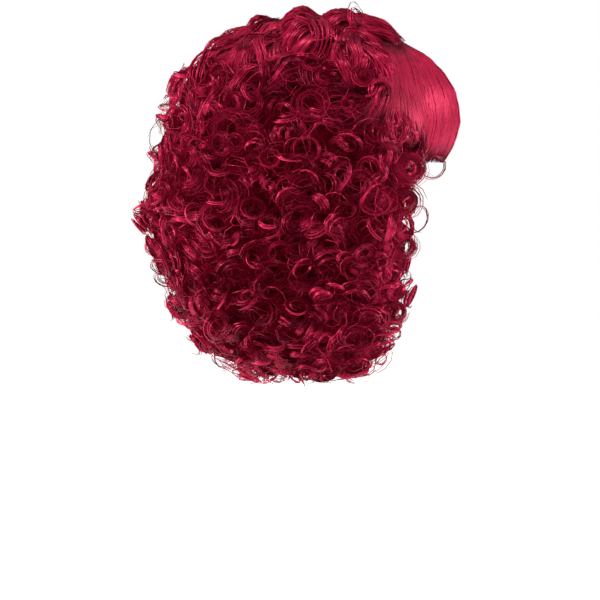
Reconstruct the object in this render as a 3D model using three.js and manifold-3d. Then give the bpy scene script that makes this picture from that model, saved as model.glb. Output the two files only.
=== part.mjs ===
// A curly bob wig with a straight full fringe: a hollow cap that fits a head, and the hair that is sewn to it.
// Millimetres, +Z up. The origin is the top of the head, inside the cap. The face looks along -Y.
import * as THREE from "three";
import { LoftGeometry } from "three/addons/geometries/LoftGeometry.js";
import { mergeVertices } from "three/addons/utils/BufferGeometryUtils.js";
import Module from "manifold-3d";

// Head that the cap fits
const HEAD_LENGTH = 190;
const HEAD_WIDTH = 152;
const HEAD_CROWN = 85; // from the top of the head down to its widest level
const NAPE_DEPTH = 160;
const NAPE_TUCK = 24; // how far the nape lies inside the back of the head

// Cap
const CAP_WALL = 1.6;
const CAP_ROWS = 6;
const CAP_GAP = 1.2; // between the cap and the hair
const AROUND = 28; // points in a ring round the head
// The cap's edge from the forehead, past the tab before the ear and over the ear, to the nape
const CAP_EDGE = [
  { turn: 0, depth: 50 },
  { turn: 42, depth: 60 },
  { turn: 74, depth: 112 },
  { turn: 100, depth: 98 },
  { turn: 138, depth: 142 },
  { turn: 180, depth: 158 },
];

// Hair: the outline of the mass that the curls stand on, level by level, as its reach from the head's upright axis
const HAIR_TOP = { level: 18, behind: 16 };
const HAIR_LEVELS = [
  { level: 14, back: 56, front: 20, side: 44, square: 2 },
  { level: 6, back: 82, front: 38, side: 66, square: 2 },
  { level: -8, back: 106, front: 58, side: 86, square: 2.2 },
  { level: -35, back: 138, front: 66, side: 108, square: 2.6 },
  { level: -75, back: 154, front: 76, side: 122, square: 3 },
  { level: -112, back: 156, front: 80, side: 129, square: 3.4 },
  { level: -132, back: 163, front: 67, side: 133, square: 3.8 },
  { level: -160, back: 175, front: 64, side: 137, square: 4 },
  { level: -205, back: 156, front: 65, side: 137, square: 4 },
  { level: -245, back: 143, front: 60, side: 131, square: 3.6 },
  { level: -280, back: 118, front: 50, side: 115, square: 3 },
  { level: -304, back: 80, front: 30, side: 97, square: 2.4 },
  { level: -311, back: 66, front: 18, side: 88, square: 2.2 },
];
const BACK_SQUARE = 2.2; // how square the mass is behind: 2 is an ellipse
const PIECE_GAP = 0.6; // between two pieces of hair

// Hollow for the head, and below the cap the way in for the face and neck
const HOLLOW_DEPTH = 165;
const DOME_ROWS = 6;
const NAPE_ROWS = 4;
const NECK_HALF_WIDTH = HEAD_WIDTH / 2 + CAP_WALL + CAP_GAP;
const NECK_BACK = 72;
const NECK_TOP = -120;

// Ringlets: each is most of a turn of a thick lock, part sunk in the mass
const CURL_STAND = 13; // how far a ringlet stands out of the mass
const CURL_LEAN = THREE.MathUtils.degToRad(48);
const CURL_RADIUS = 14;
const LOCK_RADIUS = 6;
const CURL_TURNS = 0.86;
const CURL_PITCH = 9; // along the ringlet's axis in one turn
const CURL_SPACING = 52;
const CURL_LEVELS = [-13, -59, -106, -163, -205, -247, -285];
const CURL_STAGGER = [0.7, 0.25]; // share of the spacing before the first ringlet, in even and in odd rows
const LEVEL_SPREAD = 3; // how far a ringlet may lie above or below its row
const RADIUS_SPREAD = 0.15;
const CURL_STEPS = 7;
const LOCK_SIDES = 4;

// Waves over the crown
const WAVE_COUNT = 13;
const WAVE_POINTS = 4; // round the head, for each wave
const WAVE_HEIGHT = 14;
const WAVE_SWAY = 0.22; // radians that a wave swings to each side

// Fringe: a wall of straight locks side by side, lifted off the forehead
const FRINGE_TURN = 54; // degrees to each side of the nose
const FRINGE_LOCKS = 13;
const FRINGE_RIDGE = 3; // how far the middle of a lock stands over its edges
const FRINGE_RAGGED = 6; // how much longer one lock may be than another
const FRINGE_ROWS = [
  { depth: 4, lift: 10, under: 2.6 },
  { depth: 14, lift: 12, under: 2.6 },
  { depth: 32, lift: 16, under: 4 },
  { depth: 55, lift: 18, under: 7 },
  { depth: 78, lift: 15.5, under: 6 },
  { depth: 97, lift: 9.5, under: 3.6 },
  { depth: 107, lift: 5.5, under: 2.8 },
];
// The fringe meets the crown and the sides on a slanting plane
const PART_BEHIND = -53.75; // where that plane crosses the head's axis level at the top of the head
const PART_SLOPE = 0.25; // how far it moves forwards for each millimetre down
const FRINGE_BOTTOM = -118;

// Where the hair is divided into pieces
const CROWN_BOTTOM = -35;
const UPPER_BOTTOM = -140;
const SIDE_ANGLE = 35; // degrees behind the ear, between the side and the back
const FAR = 400; // past the whole wig

// Finishes
const CURLY_HAIR = { color: 0x97173a, roughness: 0.45, metalness: 0 };
const FRINGE_HAIR = { color: 0xb82a4a, roughness: 0.38, metalness: 0 };
const CAP_NET = { color: 0x2e0a12, roughness: 0.9, metalness: 0 };

const wasm = await Module();
wasm.setup();

// A seeded stream of numbers from 0 to 1, so that each build is the same
function numbers(seed) {
  let state = seed;
  return () => {
    state = (state + 0x6d2b79f5) | 0;
    let mixed = Math.imul(state ^ (state >>> 15), 1 | state);
    mixed = (mixed + Math.imul(mixed ^ (mixed >>> 7), 61 | mixed)) ^ mixed;
    return ((mixed ^ (mixed >>> 14)) >>> 0) / 4294967296;
  };
}

// The row of a table at a value of one of its columns, with straight lines between rows
function rowAt(table, column, value) {
  const rising = table[0][column] < table[table.length - 1][column];
  let i = 1;
  while (i < table.length - 1 && (rising ? table[i][column] < value : table[i][column] > value)) i++;
  const [low, high] = [table[i - 1], table[i]];
  const share = THREE.MathUtils.clamp((value - low[column]) / (high[column] - low[column]), 0, 1);
  const row = {};
  for (const name of Object.keys(low)) row[name] = THREE.MathUtils.lerp(low[name], high[name], share);
  return row;
}

// A closed geometry as a solid that can be joined and cut
function solid(geometry) {
  const bare = new THREE.BufferGeometry();
  bare.setAttribute("position", geometry.attributes.position);
  bare.setIndex(geometry.index);
  const { index, attributes } = mergeVertices(bare, 1e-3);
  const triVerts = [];
  for (let i = 0; i < index.count; i += 3) {
    const [a, b, c] = [index.getX(i), index.getX(i + 1), index.getX(i + 2)];
    if (a !== b && b !== c && a !== c) triVerts.push(a, b, c);
  }
  const vertProperties = new Float32Array(attributes.position.array);
  return new wasm.Manifold(new wasm.Mesh({ numProp: 3, vertProperties, triVerts: new Uint32Array(triVerts) }));
}

// A solid through sections, closed flat at its ends unless it ends in a point
function loft(sections) {
  const [first, second] = sections[sections.length - 1];
  return solid(new LoftGeometry(sections, { capStart: true, capEnd: first.distanceTo(second) > 1e-6 }));
}

function joined(solids) {
  return solids.reduce((all, next) => all.add(next));
}

// The largest body of a solid: a cut can leave the tip of a lock by itself
function mainBody(made) {
  return made.decompose().reduce((best, body) => (body.volume() > best.volume() ? body : best));
}

function meshOf(name, made, finish) {
  const { vertProperties, triVerts } = made.getMesh();
  const geometry = new THREE.BufferGeometry();
  geometry.setAttribute("position", new THREE.BufferAttribute(vertProperties, 3));
  geometry.setIndex(new THREE.BufferAttribute(triVerts, 1));
  geometry.computeVertexNormals();
  const mesh = new THREE.Mesh(geometry, new THREE.MeshStandardMaterial(finish));
  mesh.name = name;
  return mesh;
}

// A point on the head: turn in radians from the face, depth down from the top, lifted off the skin
function headPoint(turn, depth, lift) {
  const dome = Math.min(depth / HEAD_CROWN, 1) - 1;
  const ring = Math.sqrt(1 - dome * dome);
  const below = Math.max(depth - HEAD_CROWN, 0) / (NAPE_DEPTH - HEAD_CROWN);
  const behind = -Math.cos(turn);
  const tuck = NAPE_TUCK * below * below * Math.max(behind, 0);
  return new THREE.Vector3(
    (HEAD_WIDTH / 2 + lift) * ring * Math.sin(turn),
    (HEAD_LENGTH / 2 + lift - tuck) * ring * behind,
    depth < HEAD_CROWN ? -dome * (HEAD_CROWN + lift) - HEAD_CROWN : -depth,
  );
}

// A closed ring of points, from a function of the turn about the head
function ringOf(point, count = AROUND) {
  return Array.from({ length: count }, (_, i) => point((i / count) * 2 * Math.PI));
}

function capEdge(turn) {
  const fromFace = Math.abs(THREE.MathUtils.radToDeg(Math.atan2(Math.sin(turn), Math.cos(turn))));
  return rowAt(CAP_EDGE, "turn", fromFace).depth;
}

// The cap: its inside from crown to edge, and then its outside back to the crown
function makeCap() {
  const row = (share, lift) =>
    ringOf((turn) => headPoint(turn, capEdge(turn) * (1 - Math.cos((share * Math.PI) / 2)), lift));
  const sections = [];
  for (let i = 0; i <= CAP_ROWS; i++) sections.push(row(i / CAP_ROWS, 0));
  for (let i = CAP_ROWS; i >= 0; i--) sections.push(row(i / CAP_ROWS, CAP_WALL));
  return solid(new LoftGeometry(sections));
}

// What the hair has to leave free: the head in its cap, and the way in for face and neck
function makeHollow() {
  const depths = [];
  for (let i = NAPE_ROWS; i > 0; i--) depths.push(THREE.MathUtils.lerp(HEAD_CROWN, HOLLOW_DEPTH, i / NAPE_ROWS));
  for (let i = DOME_ROWS; i >= 0; i--) depths.push(HEAD_CROWN * (1 - Math.cos((i / DOME_ROWS) * (Math.PI / 2))));
  const head = loft(depths.map((depth) => ringOf((turn) => headPoint(turn, depth, CAP_WALL + CAP_GAP))));
  const plan = new THREE.Shape();
  plan.moveTo(-NECK_HALF_WIDTH, -FAR);
  plan.lineTo(NECK_HALF_WIDTH, -FAR);
  plan.lineTo(NECK_HALF_WIDTH, 0);
  plan.absellipse(0, 0, NECK_HALF_WIDTH, NECK_BACK, 0, Math.PI);
  const neck = new THREE.ExtrudeGeometry(plan, { depth: FAR, bevelEnabled: false, curveSegments: 12 });
  return head.add(solid(neck.translate(0, 0, NECK_TOP - FAR)));
}

// A point on the mass of hair: a rounded square in plan, with its own reach before and behind
function hairPoint(turn, level) {
  const { back, front, side, square } = rowAt(HAIR_LEVELS, "level", level);
  const ahead = Math.cos(turn);
  const across = Math.sin(turn);
  const power = 2 / (ahead > 0 ? square : BACK_SQUARE);
  const reach = ahead > 0 ? front : back;
  return new THREE.Vector3(
    side * Math.sign(across) * Math.abs(across) ** power,
    -reach * Math.sign(ahead) * Math.abs(ahead) ** power,
    level,
  );
}

function hairNormal(turn, level) {
  const [turnStep, levelStep] = [0.02, 2];
  const round = hairPoint(turn + turnStep, level).sub(hairPoint(turn - turnStep, level));
  const up = hairPoint(turn, level + levelStep).sub(hairPoint(turn, level - levelStep));
  return round.cross(up).normalize();
}

// The mass below the crown
function makeMass() {
  const levels = HAIR_LEVELS.map(({ level }) => level).filter((level) => level <= CROWN_BOTTOM);
  return loft(levels.reverse().map((level) => ringOf((turn) => hairPoint(turn, level))));
}

// The crown: its waves run from the top outwards and down, swaying as they go
function makeCrown() {
  const levels = HAIR_LEVELS.map(({ level }) => level).filter((level) => level >= CROWN_BOTTOM);
  const wavePoint = (turn, level) => {
    const share = (HAIR_TOP.level - level) / (HAIR_TOP.level - CROWN_BOTTOM);
    const swayed = turn + WAVE_SWAY * Math.sin(share * 2 * Math.PI);
    const ridge = Math.cos(WAVE_COUNT * swayed) * Math.sin(share * Math.PI);
    const height = (WAVE_HEIGHT * (1 - share ** 3) * (1 + ridge)) / 2;
    return hairPoint(turn, level).addScaledVector(hairNormal(turn, level), height);
  };
  const count = WAVE_COUNT * WAVE_POINTS;
  const top = ringOf(() => new THREE.Vector3(0, HAIR_TOP.behind, HAIR_TOP.level + WAVE_HEIGHT / 2), count);
  return loft([...levels.reverse().map((level) => ringOf((turn) => wavePoint(turn, level), count)), top]);
}

// A level round the mass, from the face's opening to the back, for even spacing
class LevelCurve extends THREE.Curve {
  constructor(level, side) {
    super();
    this.level = level;
    this.side = side;
    const { side: reach, square } = rowAt(HAIR_LEVELS, "level", level);
    this.start = Math.asin(Math.min(1, (NECK_HALF_WIDTH + LOCK_RADIUS) / reach) ** (square / 2));
  }
  turnAt(t) {
    return this.side * THREE.MathUtils.lerp(this.start, Math.PI, t);
  }
  getPoint(t, target = new THREE.Vector3()) {
    return target.copy(hairPoint(this.turnAt(t), this.level));
  }
}

// One ringlet: a lock wound about an axis that leans a little from the surface's normal, to any side
function makeRinglet(turn, level, random) {
  const normal = hairNormal(turn, level);
  const lean = CURL_LEAN * random();
  const across = new THREE.Vector3(0, 0, 1).cross(normal).normalize();
  across.applyAxisAngle(normal, 2 * Math.PI * random());
  const axis = normal.clone().applyAxisAngle(across, lean);
  const sideways = new THREE.Vector3().crossVectors(axis, across);
  const radius = CURL_RADIUS * (1 + RADIUS_SPREAD * (2 * random() - 1));
  const hand = random() < 0.5 ? -1 : 1;
  const first = 2 * Math.PI * random();
  const length = CURL_PITCH * CURL_TURNS;
  const stand = radius * Math.sin(lean) + (length / 2) * Math.cos(lean) + LOCK_RADIUS;
  const centre = hairPoint(turn, level).addScaledVector(normal, CURL_STAND - stand);
  const sections = [];
  for (let i = 0; i <= CURL_STEPS; i++) {
    const share = i / CURL_STEPS;
    const angle = first + hand * share * CURL_TURNS * 2 * Math.PI;
    const out = across.clone().multiplyScalar(Math.cos(angle)).addScaledVector(sideways, Math.sin(angle));
    const middle = centre.clone().addScaledVector(axis, (share - 0.5) * length).addScaledVector(out, radius);
    const section = [];
    for (let k = 0; k < LOCK_SIDES; k++) {
      const corner = -hand * (k / LOCK_SIDES) * 2 * Math.PI;
      const point = middle.clone().addScaledVector(out, LOCK_RADIUS * Math.cos(corner));
      section.push(point.addScaledVector(axis, LOCK_RADIUS * Math.sin(corner)));
    }
    sections.push(section);
  }
  return loft(sections);
}

function makeRinglets() {
  const ringlets = [];
  const random = numbers(7);
  CURL_LEVELS.forEach((level, row) => {
    for (const side of [-1, 1]) {
      const curve = new LevelCurve(level, side);
      const count = Math.round(curve.getLength() / CURL_SPACING);
      for (let i = 0; i < count; i++) {
        const turn = curve.turnAt(curve.getUtoTmapping((i + CURL_STAGGER[row % 2]) / count));
        ringlets.push(makeRinglet(turn, level + LEVEL_SPREAD * (2 * random() - 1), random));
      }
    }
  });
  return ringlets;
}

// The block before the slanting plane, where the fringe is and the rest of the hair isn't
function beforePart(shift) {
  const planeAt = (level) => PART_BEHIND + PART_SLOPE * level - shift;
  const outline = new THREE.Shape();
  outline.moveTo(-FAR, FRINGE_BOTTOM);
  outline.lineTo(planeAt(FRINGE_BOTTOM), FRINGE_BOTTOM);
  outline.lineTo(planeAt(FAR), FAR);
  outline.lineTo(-FAR, FAR);
  const block = new THREE.ExtrudeGeometry(outline, { depth: 2 * FAR, bevelEnabled: false });
  block.applyMatrix4(new THREE.Matrix4().makeBasis(
    new THREE.Vector3(0, 1, 0),
    new THREE.Vector3(0, 0, 1),
    new THREE.Vector3(1, 0, 0),
  ));
  return solid(block.translate(-FAR, 0, 0));
}

// The fringe: ridges and furrows by turns across it, and locks that end at different lengths
function makeFringe(hollow) {
  const halfTurn = THREE.MathUtils.degToRad(FRINGE_TURN);
  const random = numbers(3);
  const points = 2 * FRINGE_LOCKS;
  const longer = Array.from({ length: points + 1 }, (_, i) => (i % 2 ? FRINGE_RAGGED * random() : 0));
  const last = FRINGE_ROWS[FRINGE_ROWS.length - 1];
  const sections = FRINGE_ROWS.toReversed().map((row) => {
    const place = (i, lift) =>
      headPoint(halfTurn * ((2 * i) / points - 1), row.depth + (row === last ? longer[i] : 0), lift);
    const section = [];
    for (let i = 0; i <= points; i++) section.push(place(i, row.lift + (i % 2 ? FRINGE_RIDGE : 0)));
    for (let i = points; i >= 0; i--) section.push(place(i, row.under));
    return section;
  });
  return mainBody(loft(sections).intersect(beforePart(PIECE_GAP)).subtract(hollow));
}

// A block over a plan, between two levels, that holds one piece of the hair
function cell(corners, bottom, top) {
  const plan = new THREE.Shape(corners.map(([x, y]) => new THREE.Vector2(x, y)));
  const block = new THREE.ExtrudeGeometry(plan, { depth: top - bottom, bevelEnabled: false });
  return solid(block.translate(0, 0, bottom));
}

// The plans of one side and one half of the back, seen from above, for the wearer's left
function plansOf() {
  const half = PIECE_GAP / 2;
  const slope = Math.tan(THREE.MathUtils.degToRad(SIDE_ANGLE));
  const step = half / Math.cos(THREE.MathUtils.degToRad(SIDE_ANGLE));
  return {
    side_curls: [[half, -FAR], [FAR, -FAR], [FAR, FAR * slope - step], [half, -step]],
    back_curls: [[half, step], [FAR, FAR * slope + step], [FAR, FAR], [half, FAR]],
  };
}

const wig = new THREE.Group();
wig.add(meshOf("wig_cap", makeCap(), CAP_NET));

const hollow = makeHollow();
wig.add(meshOf("fringe", makeFringe(hollow), FRINGE_HAIR));

const keptFree = hollow.add(beforePart(0));
const ringlets = joined(makeRinglets());
const half = PIECE_GAP / 2;
const everywhere = [[-FAR, -FAR], [FAR, -FAR], [FAR, FAR], [-FAR, FAR]];
const crown = makeCrown().add(ringlets).subtract(keptFree).intersect(cell(everywhere, CROWN_BOTTOM + half, FAR));
wig.add(meshOf("crown_waves", mainBody(crown), CURLY_HAIR));

const belowCrown = makeMass().add(ringlets).subtract(keptFree);
const tiers = { upper: [UPPER_BOTTOM + half, CROWN_BOTTOM - half], lower: [-FAR, UPPER_BOTTOM - half] };
for (const [place, plan] of Object.entries(plansOf())) {
  for (const [tier, [bottom, top]] of Object.entries(tiers)) {
    for (const [hand, mirror] of [["left", 1], ["right", -1]]) {
      const corners = plan.map(([x, y]) => [mirror * x, y]);
      const piece = belowCrown.intersect(cell(corners, bottom, top));
      wig.add(meshOf(`${place}_${tier}_${hand}`, mainBody(piece), CURLY_HAIR));
    }
  }
}

export default wig;
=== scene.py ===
"""A deep red curly wig, strand by strand: ringlets, crown waves and a straight fringe over a hollow cap.

Metres, +Z up. The origin is the top of the hollow, inside the cap, and the front is towards -Y.
A place on the cap or on the hair is given by its turn about the upright axis, counted from the front,
and by its depth below the origin.
"""
import math
from collections import defaultdict

import bpy
import numpy as np
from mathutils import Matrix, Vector


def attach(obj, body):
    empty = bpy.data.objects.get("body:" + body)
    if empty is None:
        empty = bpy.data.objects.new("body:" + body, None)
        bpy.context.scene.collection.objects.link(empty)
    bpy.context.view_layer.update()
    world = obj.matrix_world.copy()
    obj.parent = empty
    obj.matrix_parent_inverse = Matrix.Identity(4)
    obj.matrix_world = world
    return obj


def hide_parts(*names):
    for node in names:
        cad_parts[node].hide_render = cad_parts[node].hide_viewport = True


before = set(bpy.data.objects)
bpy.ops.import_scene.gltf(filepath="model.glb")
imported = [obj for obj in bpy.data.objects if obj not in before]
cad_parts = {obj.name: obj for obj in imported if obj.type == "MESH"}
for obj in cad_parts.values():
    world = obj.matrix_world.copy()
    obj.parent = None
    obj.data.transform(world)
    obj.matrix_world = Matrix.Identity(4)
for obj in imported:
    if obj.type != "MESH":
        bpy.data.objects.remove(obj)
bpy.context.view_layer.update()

TURN = 2 * math.pi

# Hollow of the cap
HOLLOW_LENGTH = 0.190
HOLLOW_WIDTH = 0.152
HOLLOW_CROWN = 0.085  # from its top down to its widest level
NAPE_DEPTH = 0.160
NAPE_TUCK = 0.024

# Cap
CAP_WALL = 0.0016
CAP_EDGE_TURN = np.radians([0, 42, 74, 100, 138, 180])
CAP_EDGE_DEPTH = [0.050, 0.060, 0.112, 0.098, 0.142, 0.158]

# Hair: the reach of the mass that the curls stand on, by depth
HAIR_OUTLINE = np.array([
    # depth, back, front, side, square
    (-0.018, 0.016, -0.016, 0.000, 2.0),
    (-0.014, 0.056, 0.020, 0.038, 2.0),
    (-0.006, 0.082, 0.038, 0.060, 2.0),
    (0.008, 0.106, 0.058, 0.083, 2.2),
    (0.035, 0.138, 0.066, 0.108, 2.6),
    (0.075, 0.154, 0.076, 0.122, 3.0),
    (0.112, 0.156, 0.080, 0.129, 3.4),
    (0.132, 0.163, 0.067, 0.133, 3.8),
    (0.160, 0.175, 0.064, 0.137, 4.0),
    (0.205, 0.156, 0.065, 0.137, 4.0),
    (0.245, 0.143, 0.060, 0.131, 3.6),
    (0.280, 0.118, 0.050, 0.115, 3.0),
    (0.304, 0.080, 0.030, 0.097, 2.4),
    (0.311, 0.066, 0.018, 0.088, 2.2),
])
BACK_SQUARE = 2.2

# Way in from below and in front
WAY_IN_HALF_WIDTH = 0.0788
WAY_IN_BACK = 0.072
FRINGE_BOTTOM = 0.118

# The fringe meets the crown and the sides on a slanting plane
PART_BEHIND = -0.05375
PART_SLOPE = 0.25

# Where the hair is divided into pieces
CROWN_BOTTOM = 0.035
UPPER_BOTTOM = 0.140
SIDE_SLOPE = math.tan(math.radians(35))

# Straight hair beside the fringe
TEMPLE_BACK_TURN = math.radians(69)
TEMPLE_BOTTOM = 0.082
TEMPLE_DROP = 0.032

# Larger ringlets down the front edge, from the temple
FRONT_RINGS = np.array([
    # x, y and z on the right, set back by, radius on the right, radius on the left
    (-0.121, -0.054, -0.117, 0.000, 0.0118, 0.0116),
    (-0.124, -0.050, -0.145, 0.000, 0.0108, 0.0110),
    (-0.118, -0.053, -0.184, 0.004, 0.0104, 0.0102),
    (-0.110, -0.047, -0.242, 0.004, 0.0100, 0.0104),
])
FRONT_RING_CLEAR = 0.015  # other ringlets keep this far from their centres

UV_NAME = "OFBake"
LOOKS = 32  # strands share this many looks, side by side in the strands' own map
rng = np.random.default_rng(11)


# Shapes of the hollow and of the hair

def unit(vectors):
    """Each vector divided by its own length."""
    return vectors / np.maximum(np.linalg.norm(vectors, axis=-1, keepdims=True), 1e-12)


def ramp(value, start, length):
    """From 0 at the start, in a straight line, to 1 a length further on."""
    return np.clip((value - start) / length, 0, 1)


def hollow_surface(turn, depth, lift):
    """A half ellipsoid above the hollow's widest level and an upright wall below it, which draws in behind
    with the square of the depth; the lift is added to its three half axes."""
    turn, depth = np.broadcast_arrays(turn, depth)
    dome = np.minimum(depth / HOLLOW_CROWN, 1) - 1
    ring = np.sqrt(np.maximum(1 - dome**2, 0))
    below = np.maximum(depth - HOLLOW_CROWN, 0) / (NAPE_DEPTH - HOLLOW_CROWN)
    behind = -np.cos(turn)
    tuck = NAPE_TUCK * below**2 * np.maximum(behind, 0)
    x = (HOLLOW_WIDTH / 2 + lift) * ring * np.sin(turn)
    y = (HOLLOW_LENGTH / 2 + lift - tuck) * ring * behind
    z = np.where(depth < HOLLOW_CROWN, -dome * (HOLLOW_CROWN + lift) - HOLLOW_CROWN, -depth)
    return np.stack([x, y, z], -1)


def outline_at(depth):
    """The hair's reach behind, in front and to the side, and its squareness in front, at each depth."""
    return [np.interp(depth, HAIR_OUTLINE[:, 0], column) for column in HAIR_OUTLINE.T[1:]]


def hair_surface(turn, depth):
    """A rounded square in plan at each depth: the sine and cosine of the turn, raised to two over its
    squareness, times the reach to the side and the reach before or behind."""
    turn, depth = np.broadcast_arrays(turn, depth)
    back, front, side, square = outline_at(depth)
    ahead, across = np.cos(turn), np.sin(turn)
    power = 2 / np.where(ahead > 0, square, BACK_SQUARE)
    reach = np.where(ahead > 0, front, back)
    x = side * np.sign(across) * np.abs(across) ** power
    y = -reach * np.sign(ahead) * np.abs(ahead) ** power
    return np.stack([x, y, -depth], -1)


def hair_normal(turn, depth):
    """The cross product of the surface's steps round the hair and upwards."""
    turn_step, depth_step = 0.03, 0.004
    around = hair_surface(turn + turn_step, depth) - hair_surface(turn - turn_step, depth)
    up = hair_surface(turn, depth - depth_step) - hair_surface(turn, depth + depth_step)
    return unit(np.cross(around, up))


def part_plane(z):
    """Where the plane between the fringe and the rest crosses a level."""
    return PART_BEHIND + PART_SLOPE * z


def crown_surface(x, y):
    """The point of the hair's top over each place in plan: the depth at which the rounded square goes through
    the place is found by halving."""
    deepest, halvings = 0.10, 22
    x, y = np.broadcast_arrays(x, y)
    high = np.full(x.shape, HAIR_OUTLINE[0, 0])
    low = np.full(x.shape, deepest)
    for _ in range(halvings):
        middle = (high + low) / 2
        back, front, side, square = outline_at(middle)
        power = np.where(y < 0, square, BACK_SQUARE)
        reach = np.maximum(np.where(y < 0, front, back), 1e-4)
        outside = (np.abs(x) / np.maximum(side, 1e-4)) ** power + (np.abs(y) / reach) ** power > 1
        high, low = np.where(outside, middle, high), np.where(outside, low, middle)
    return np.stack([x, y, -(high + low) / 2], -1)


def crown_normal(x, y):
    """Upright less the slope of the hair's top along each axis."""
    step = 0.006
    slope_x = (crown_surface(x + step, y) - crown_surface(x - step, y))[..., 2] / (2 * step)
    slope_y = (crown_surface(x, y + step) - crown_surface(x, y - step))[..., 2] / (2 * step)
    return unit(np.stack([-slope_x, -slope_y, np.ones_like(slope_x)], -1))


def length_along(points):
    """The distance of each point from the first, along the line through them."""
    return np.concatenate([[0], np.cumsum(np.linalg.norm(np.diff(points, axis=0), axis=1))])


# The depth of the hair's surface by the distance along it from the top, halfway between side and back
PROFILE_TURN = math.radians(125)
PROFILE_DEPTH = np.linspace(HAIR_OUTLINE[0, 0], HAIR_OUTLINE[-1, 0], 400)
PROFILE_ARC = length_along(hair_surface(PROFILE_TURN, PROFILE_DEPTH))


def depth_at(arc):
    """The depth at a distance from the top."""
    return np.interp(arc, PROFILE_ARC, PROFILE_DEPTH)


def arc_at(depth):
    """The distance from the top at a depth."""
    return np.interp(depth, PROFILE_DEPTH, PROFILE_ARC)


# Meshes

def put_mesh(name, points, faces, corner_uv=None):
    """An object with these points and faces, a list of arrays of corner numbers, one row for each face."""
    mesh = bpy.data.meshes.new(name)
    corners = np.concatenate([part.ravel() for part in faces]).astype(np.int32)
    totals = np.concatenate([np.full(len(part), part.shape[1]) for part in faces])
    mesh.vertices.add(len(points))
    mesh.vertices.foreach_set("co", np.asarray(points, np.float32).ravel())
    mesh.loops.add(len(corners))
    mesh.loops.foreach_set("vertex_index", corners)
    mesh.polygons.add(len(totals))
    mesh.polygons.foreach_set("loop_start", (np.cumsum(totals) - totals).astype(np.int32))
    mesh.polygons.foreach_set("use_smooth", np.ones(len(totals), bool))
    if corner_uv is not None:
        layer = mesh.uv_layers.new(name=UV_NAME)
        layer.data.foreach_set("uv", np.asarray(corner_uv, np.float32).ravel())
    mesh.update(calc_edges=True)
    mesh.validate()
    piece = bpy.data.objects.new(name, mesh)
    bpy.context.collection.objects.link(piece)
    return piece


class Strands:
    """Collects strands, each a path with a flattened three-cornered section, and joins them in one mesh."""

    def __init__(self):
        self.batches = []
        self.count = 0

    def add(self, path, normal, half_width, half_height, look, taper=(0.10, 0.25)):
        """Carries the section along each path: two corners to the sides and one on the outside, along the
        normal. The section narrows over the first and last shares of the path that taper gives."""
        strands, steps = path.shape[:2]
        along = unit(np.gradient(path, axis=1))
        side = unit(np.cross(normal, along))
        out = np.cross(along, side)
        share = np.linspace(0, 1, steps)
        narrow = np.minimum(1, np.minimum(0.25 + share / taper[0], 0.12 + (1 - share) / taper[1]))
        wide = (np.reshape(half_width, (-1, 1)) * narrow)[..., None]
        high = (np.reshape(half_height, (-1, 1)) * np.sqrt(narrow))[..., None]
        low = out * high / 2
        ring = np.stack([path + side * wide - low, path + out * high, path - side * wide - low], 2)
        corner = self.count + np.arange(strands * steps * 3).reshape(strands, steps, 3)
        following = np.roll(corner, -1, axis=2)
        quads = np.stack([corner[:, :-1], following[:, :-1], following[:, 1:], corner[:, 1:]], -1)
        caps = np.stack([corner[:, 0, ::-1], corner[:, -1]], 1)
        u = (np.asarray(look)[:, None, None] + np.arange(4) / 3) / LOOKS
        v = 0.01 + 0.98 * share[:, None]
        uv = np.stack(np.broadcast_arrays(u, v), -1)
        quad_uv = np.stack([uv[:, :-1, :-1], uv[:, :-1, 1:], uv[:, 1:, 1:], uv[:, 1:, :-1]], 3)
        cap_uv = np.stack([uv[:, 0, 2::-1], uv[:, -1, :3]], 1)
        widths = ((ring, 3), (quads, 4), (caps, 3), (quad_uv, 2), (cap_uv, 2))
        self.batches.append([values.reshape(-1, width) for values, width in widths])
        self.count += ring.size // 3

    def piece(self, name):
        """The strands in one mesh. Their side edges are sharp, so that a strand shades as a flat ribbon."""
        points, quads, caps, quad_uv, cap_uv = (np.concatenate(values) for values in zip(*self.batches))
        piece = put_mesh(name, points, [quads, caps], np.concatenate([quad_uv, cap_uv]))
        ends = np.empty(2 * len(piece.data.edges), np.int32)
        piece.data.edges.foreach_get("vertices", ends)
        first, second = ends.reshape(-1, 2).T % 3
        sharp = piece.data.attributes.new("sharp_edge", "BOOLEAN", "EDGE")
        sharp.data.foreach_set("value", (first == second) & (first != 1))
        return piece


def wall(name, outer, inner, closed=False):
    """A wall between two grids of points, first index round and second downwards: both faces and the strips
    that join their edges. A closed wall runs right round, and has no edges at its ends."""
    around, down = outer.shape[:2]
    front = np.arange(around * down).reshape(around, down)
    back = front + around * down
    if closed:
        front, back = (np.concatenate([grid, grid[:1]]) for grid in (front, back))

    def faces(a, b, c, d):
        return np.stack([a, b, c, d], -1).reshape(-1, 4)

    quads = [
        faces(front[:-1, :-1], front[:-1, 1:], front[1:, 1:], front[1:, :-1]),
        faces(back[:-1, :-1], back[1:, :-1], back[1:, 1:], back[:-1, 1:]),
        faces(front[:-1, 0], front[1:, 0], back[1:, 0], back[:-1, 0]),
        faces(front[1:, -1], front[:-1, -1], back[:-1, -1], back[1:, -1]),
    ]
    if not closed:
        quads.append(faces(front[0, :-1], back[0, :-1], back[0, 1:], front[0, 1:]))
        quads.append(faces(front[-1, 1:], back[-1, 1:], back[-1, :-1], front[-1, :-1]))
    quads = np.concatenate(quads)
    shares = np.meshgrid(np.linspace(0, 1, around), np.linspace(0, 1, down), indexing="ij")
    uv = np.tile(np.stack(shares, -1).reshape(-1, 2), (2, 1))
    points = np.concatenate([outer.reshape(-1, 3), inner.reshape(-1, 3)])
    return put_mesh(name, points, [quads], uv[quads.ravel()])


# Curls

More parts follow.
